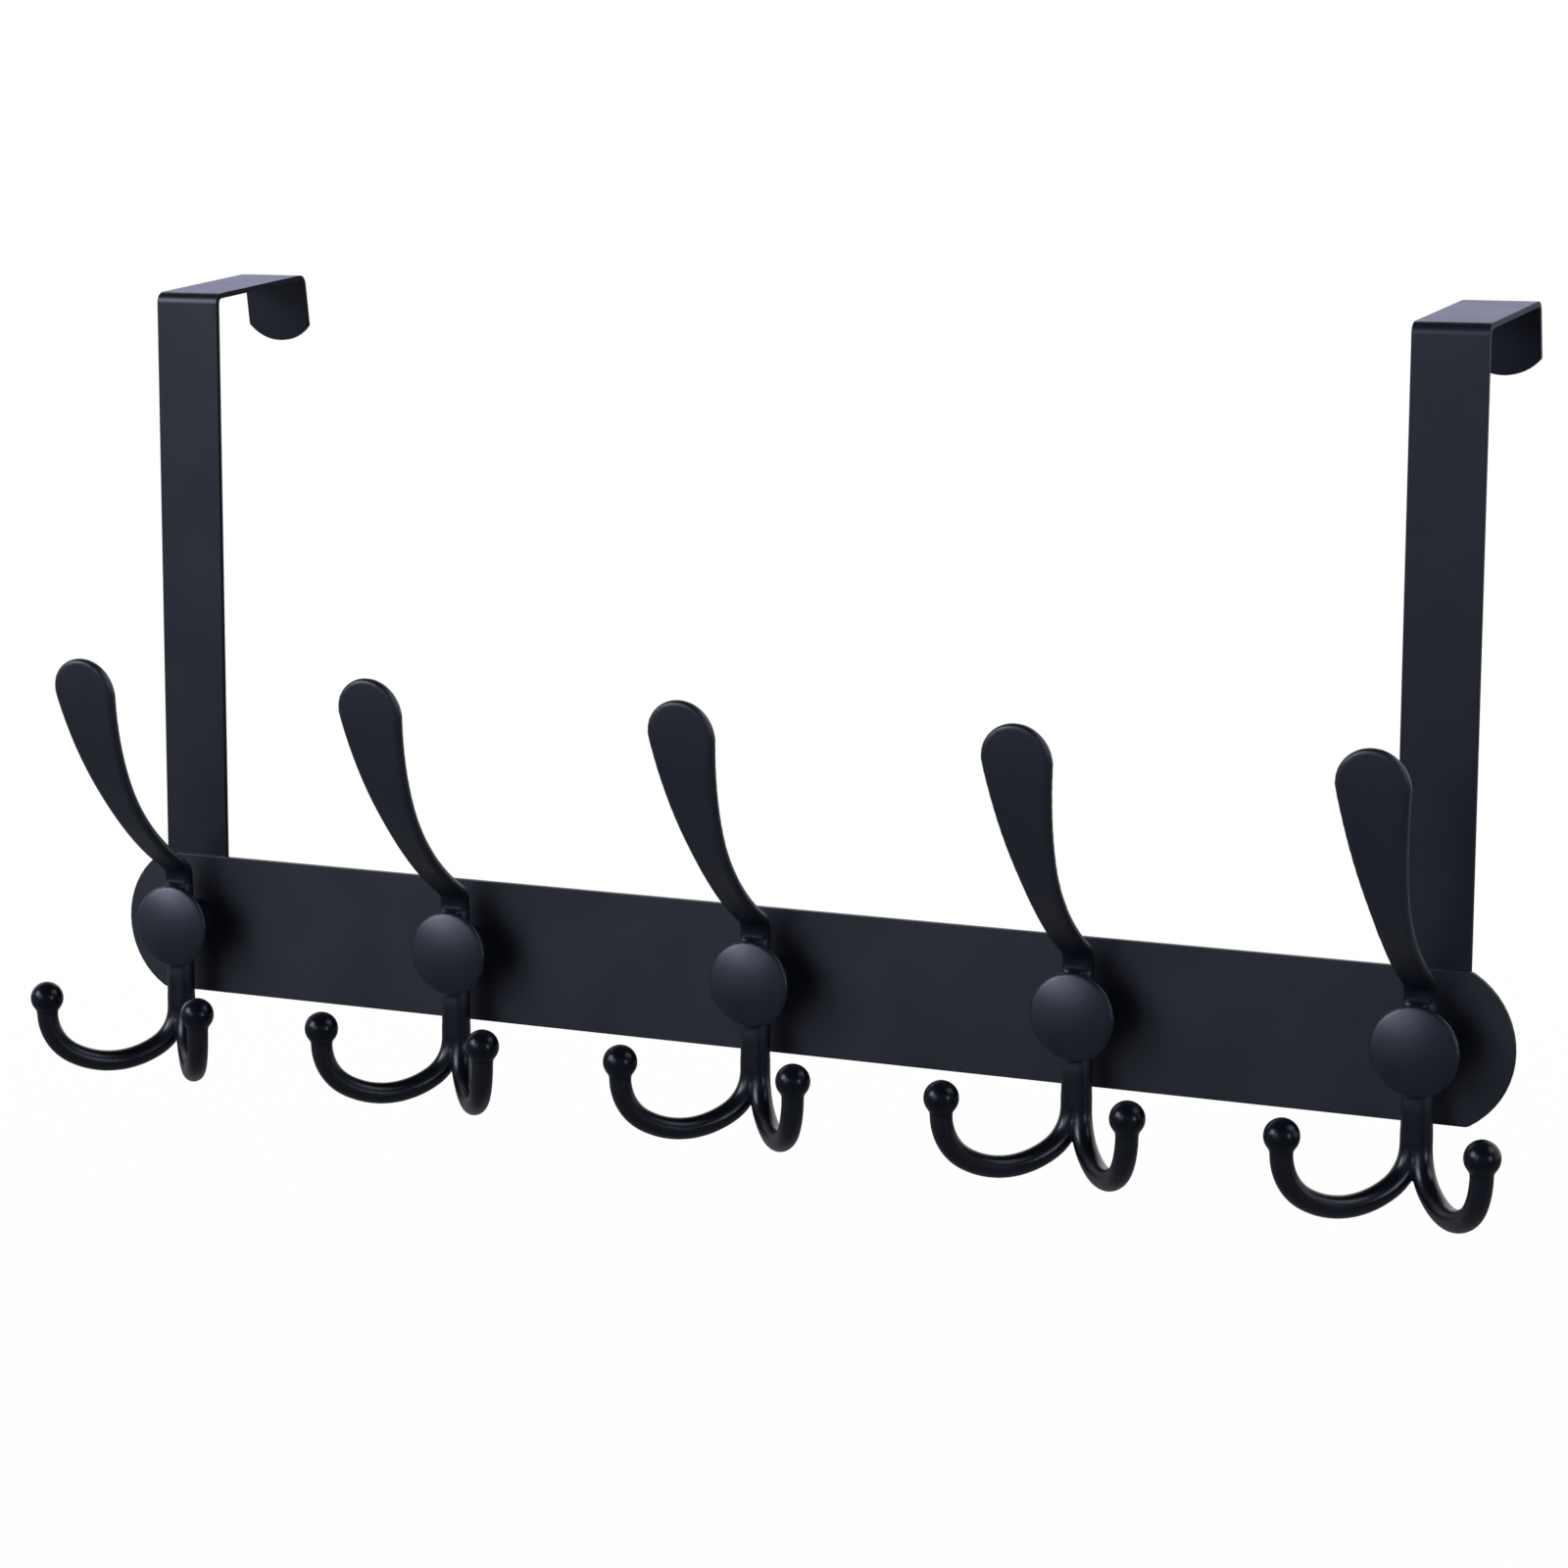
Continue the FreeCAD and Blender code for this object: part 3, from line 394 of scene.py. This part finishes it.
def make_world():
    """White backdrop behind the object, seen and mirrored; dim, even light from the front of the room."""
    world = bpy.data.worlds.new("studio")
    bpy.context.scene.world = world
    world.use_nodes = True
    tree = world.node_tree
    tree.nodes.clear()
    output = add(tree, "ShaderNodeOutputWorld")
    mix = add(tree, "ShaderNodeMixShader")
    ray = axes_of(tree, add(tree, "ShaderNodeTexCoord").outputs["Generated"])
    fill = add(tree, "ShaderNodeBackground")
    fill.inputs["Color"].default_value = FILL_COLOUR
    join(tree, smooth_step(tree, ray["Z"], *FILL_RISE, *FILL_STRENGTH), fill.inputs["Strength"])
    white = add(tree, "ShaderNodeBackground")
    white.inputs["Color"].default_value = WHITE
    white.inputs["Strength"].default_value = 1.0
    behind = maths(
        tree,
        "MULTIPLY",
        smooth_step(tree, ray["Y"], *BACKDROP_START),
        smooth_step(tree, ray["Z"], *BACKDROP_TOP, 1.0, 0.0),
    )
    path = add(tree, "ShaderNodeLightPath").outputs
    seen = maths(tree, "MAXIMUM", path["Is Camera Ray"], path["Is Transmission Ray"])
    share = maths(tree, "MAXIMUM", seen, maths(tree, "MULTIPLY", path["Is Glossy Ray"], behind))
    join(tree, share, mix.inputs["Fac"])
    join(tree, fill.outputs["Background"], mix.inputs[1])
    join(tree, white.outputs["Background"], mix.inputs[2])
    join(tree, mix.outputs["Shader"], output.inputs["Surface"])


def area_light(name, place, width, height, power):
    data = bpy.data.lights.new(name, "AREA")
    data.shape = "RECTANGLE"
    data.size = width
    data.size_y = height
    data.energy = power
    lamp = bpy.data.objects.new(name, data)
    lamp.location = place
    aim = Vector(LIGHT_TARGET) - Vector(place)
    lamp.rotation_euler = aim.to_track_quat("-Z", "Y").to_euler()
    bpy.context.scene.collection.objects.link(lamp)


def make_floor():
    mesh = bpy.data.meshes.new("floor")
    corners = []
    for x, y in ((-1, -1), (1, -1), (1, 1), (-1, 1)):
        corners.append((x * FLOOR_HALF, y * FLOOR_HALF, FLOOR_Z))
    mesh.from_pydata(corners, [], [(0, 1, 2, 3)])
    floor = bpy.data.objects.new("floor", mesh)
    floor.data.materials.append(backdrop_material())
    bpy.context.scene.collection.objects.link(floor)


def paint(node, material):
    for slot in nodes[node].material_slots:
        slot.material = material


# Pieces

def place_piece(name, mesh, material, slot, *replaced):
    piece = bpy.data.objects.new(name, mesh)
    bpy.context.scene.collection.objects.link(piece)
    if not mesh.materials:
        mesh.materials.append(material)
    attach(piece, "root")
    if replaced:
        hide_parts(*replaced)
    return piece


def baked_mesh(piece):
    """The piece's mesh with its modifiers applied."""
    depsgraph = bpy.context.evaluated_depsgraph_get()
    return bpy.data.meshes.new_from_object(piece.evaluated_get(depsgraph))


def casting_mesh(source):
    """The hook's solid remeshed finely and smoothed, so that its joins are soft, as in a casting."""
    shell = bpy.data.objects.new("casting_source", source.data.copy())
    bpy.context.scene.collection.objects.link(shell)
    welded = bmesh.new()
    welded.from_mesh(shell.data)
    bmesh.ops.remove_doubles(welded, verts=welded.verts, dist=WELD_DISTANCE)
    welded.to_mesh(shell.data)
    welded.free()
    fine = shell.modifiers.new("fine", "REMESH")
    fine.mode = "VOXEL"
    fine.voxel_size = VOXEL
    shell.data = baked_mesh(shell)
    shell.modifiers.clear()

    soft = shell.vertex_groups.new(name="soft")
    free = []
    for vertex in shell.data.vertices:
        depth = RAIL_FRONT_Y - vertex.co.y
        reach = math.hypot(vertex.co.x, vertex.co.z - HOOK_AXIS_Z)
        in_bore = depth < BORE_DEPTH and reach < BORE_RADIUS
        if depth > SEAT_DEPTH and not in_bore:
            free.append(vertex.index)
    soft.add(free, 1.0, "REPLACE")
    smooth = shell.modifiers.new("soften", "SMOOTH")
    smooth.factor = SMOOTHING
    smooth.iterations = SMOOTHING_ROUNDS
    smooth.vertex_group = "soft"
    fewer = shell.modifiers.new("fewer", "DECIMATE")
    fewer.ratio = KEPT_SHARE
    mesh = baked_mesh(shell)
    mesh.name = "casting"
    mesh.materials.clear()
    for face in mesh.polygons:
        face.use_smooth = True
    bpy.data.objects.remove(shell)
    return mesh


def ring_of(build, radius, along):
    """A ring of points about the Y axis."""
    ring = []
    for i in range(SCREW_SIDES):
        angle = 2 * math.pi * i / SCREW_SIDES
        ring.append(build.verts.new((radius * math.cos(angle), along, radius * math.sin(angle))))
    return ring


def bridge(build, first, second):
    """Faces between two closed loops of as many points."""
    count = len(first)
    for i in range(count):
        j = (i + 1) % count
        build.faces.new((first[i], first[j], second[j], second[i]))


def cross_outline():
    """Corners of the cross recess, in (x, z)."""
    half = RECESS_HALF_WIDTH
    lobe = [(half, half), (half, RECESS_REACH), (0.0, RECESS_REACH * RECESS_BULGE), (-half, RECESS_REACH)]
    outline = []
    for turn in range(4):
        angle = turn * math.pi / 2
        across = math.cos(angle)
        along = math.sin(angle)
        for x, z in lobe:
            outline.append((x * across - z * along, x * along + z * across))
    return outline


def screw_mesh(name, head_profile, tip):
    """Screw along Y, turned from its profile of (radius, y), with a cross recess in the head's back face."""
    build = bmesh.new()
    profile = head_profile + [(SHANK_RADIUS, tip + TIP_BEVEL), (SHANK_RADIUS - TIP_BEVEL, tip)]
    rings = [ring_of(build, radius, along) for radius, along in profile]
    for first, second in zip(rings, rings[1:]):
        bridge(build, first, second)
    build.faces.new(list(reversed(rings[-1])))
    top = profile[0][1]
    outline = cross_outline()
    rim = [build.verts.new((x, top, z)) for x, z in outline]
    low = [build.verts.new((x * RECESS_FOOT, top - RECESS_DEPTH, z * RECESS_FOOT)) for x, z in outline]
    loops = [[vertex.co.copy() for vertex in rings[0]], [vertex.co.copy() for vertex in rim]]
    flat = rings[0] + rim
    for triangle in tessellate_polygon(loops):
        build.faces.new([flat[index] for index in triangle])
    bridge(build, rim, low)
    build.faces.new(low)
    bmesh.ops.recalc_face_normals(build, faces=build.faces)
    mesh = bpy.data.meshes.new(name)
    build.to_mesh(mesh)
    build.free()
    return mesh


def low_head_screw():
    head = 0.0040
    profile = [
        (head - 0.0005, 0.00130),
        (head - 0.0002, 0.00121),
        (head, 0.00090),
        (head, 0.0),
        (SHANK_RADIUS, 0.0),
    ]
    return screw_mesh("low_head_screw", profile, -0.0080)


def countersunk_screw():
    head = 0.0036
    profile = [
        (head - 0.00015, 0.0016),
        (head, 0.00148),
        (SHANK_RADIUS, 0.0),
    ]
    return screw_mesh("countersunk_screw", profile, -0.0079)


def middle_x(node):
    low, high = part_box(node)
    return (low[0] + high[0]) / 2


make_camera()
make_world()
make_floor()
for light_name, (light_place, light_width, light_height, light_power) in LIGHTS.items():
    area_light(light_name, light_place, light_width, light_height, light_power)

rail_coat = black_coat(
    "rail_coat",
    dark=(0.0060, 0.0074, 0.0118),
    light=(0.0080, 0.0098, 0.0150),
    gloss=0.60,
    tint=(0.74, 0.79, 1.0),
    rough_range=(0.36, 0.42),
    grain=0.2,
    edge=0.0004,
)
strap_coat = black_coat(
    "strap_coat",
    dark=(0.0054, 0.0066, 0.0112),
    light=(0.0070, 0.0086, 0.0142),
    gloss=0.42,
    tint=(0.72, 0.76, 1.0),
    rough_range=(0.33, 0.39),
    grain=0.2,
    haze=0.6,
    edge=0.0004,
)
cast_coat = black_coat(
    "cast_coat",
    dark=(0.0046, 0.0056, 0.0112),
    light=(0.0060, 0.0074, 0.0146),
    gloss=0.60,
    tint=(0.72, 0.77, 1.0),
    rough_range=(0.40, 0.46),
    grain=0.06,
)
paint("rail", rail_coat)
for label in ("door_bracket_left", "door_bracket_right"):
    paint(label, strap_coat)

casting = casting_mesh(nodes["hook_3"])
for number in range(1, 6):
    hook = place_piece(f"casting_{number}", casting, cast_coat, "hook_coat", f"hook_{number}")
    hook.location.x = middle_x(f"hook_{number}")

screw_zinc = zinc("screw_zinc")
low_head = low_head_screw()
for number in (2, 3, 4):
    screw = place_piece(f"middle_screw_{number}", low_head, screw_zinc, "screw_steel", "centre_screws")
    screw.location = (middle_x(f"hook_{number}"), RAIL_BACK_Y, HOOK_AXIS_Z)
countersunk = countersunk_screw()
for number in (1, 5):
    screw = place_piece(f"end_screw_{number}", countersunk, screw_zinc, "screw_steel", "end_screws")
    screw.location = (middle_x(f"hook_{number}"), COUNTERSINK_Y, HOOK_AXIS_Z)

bpy.context.scene.view_settings.view_transform = "Standard"
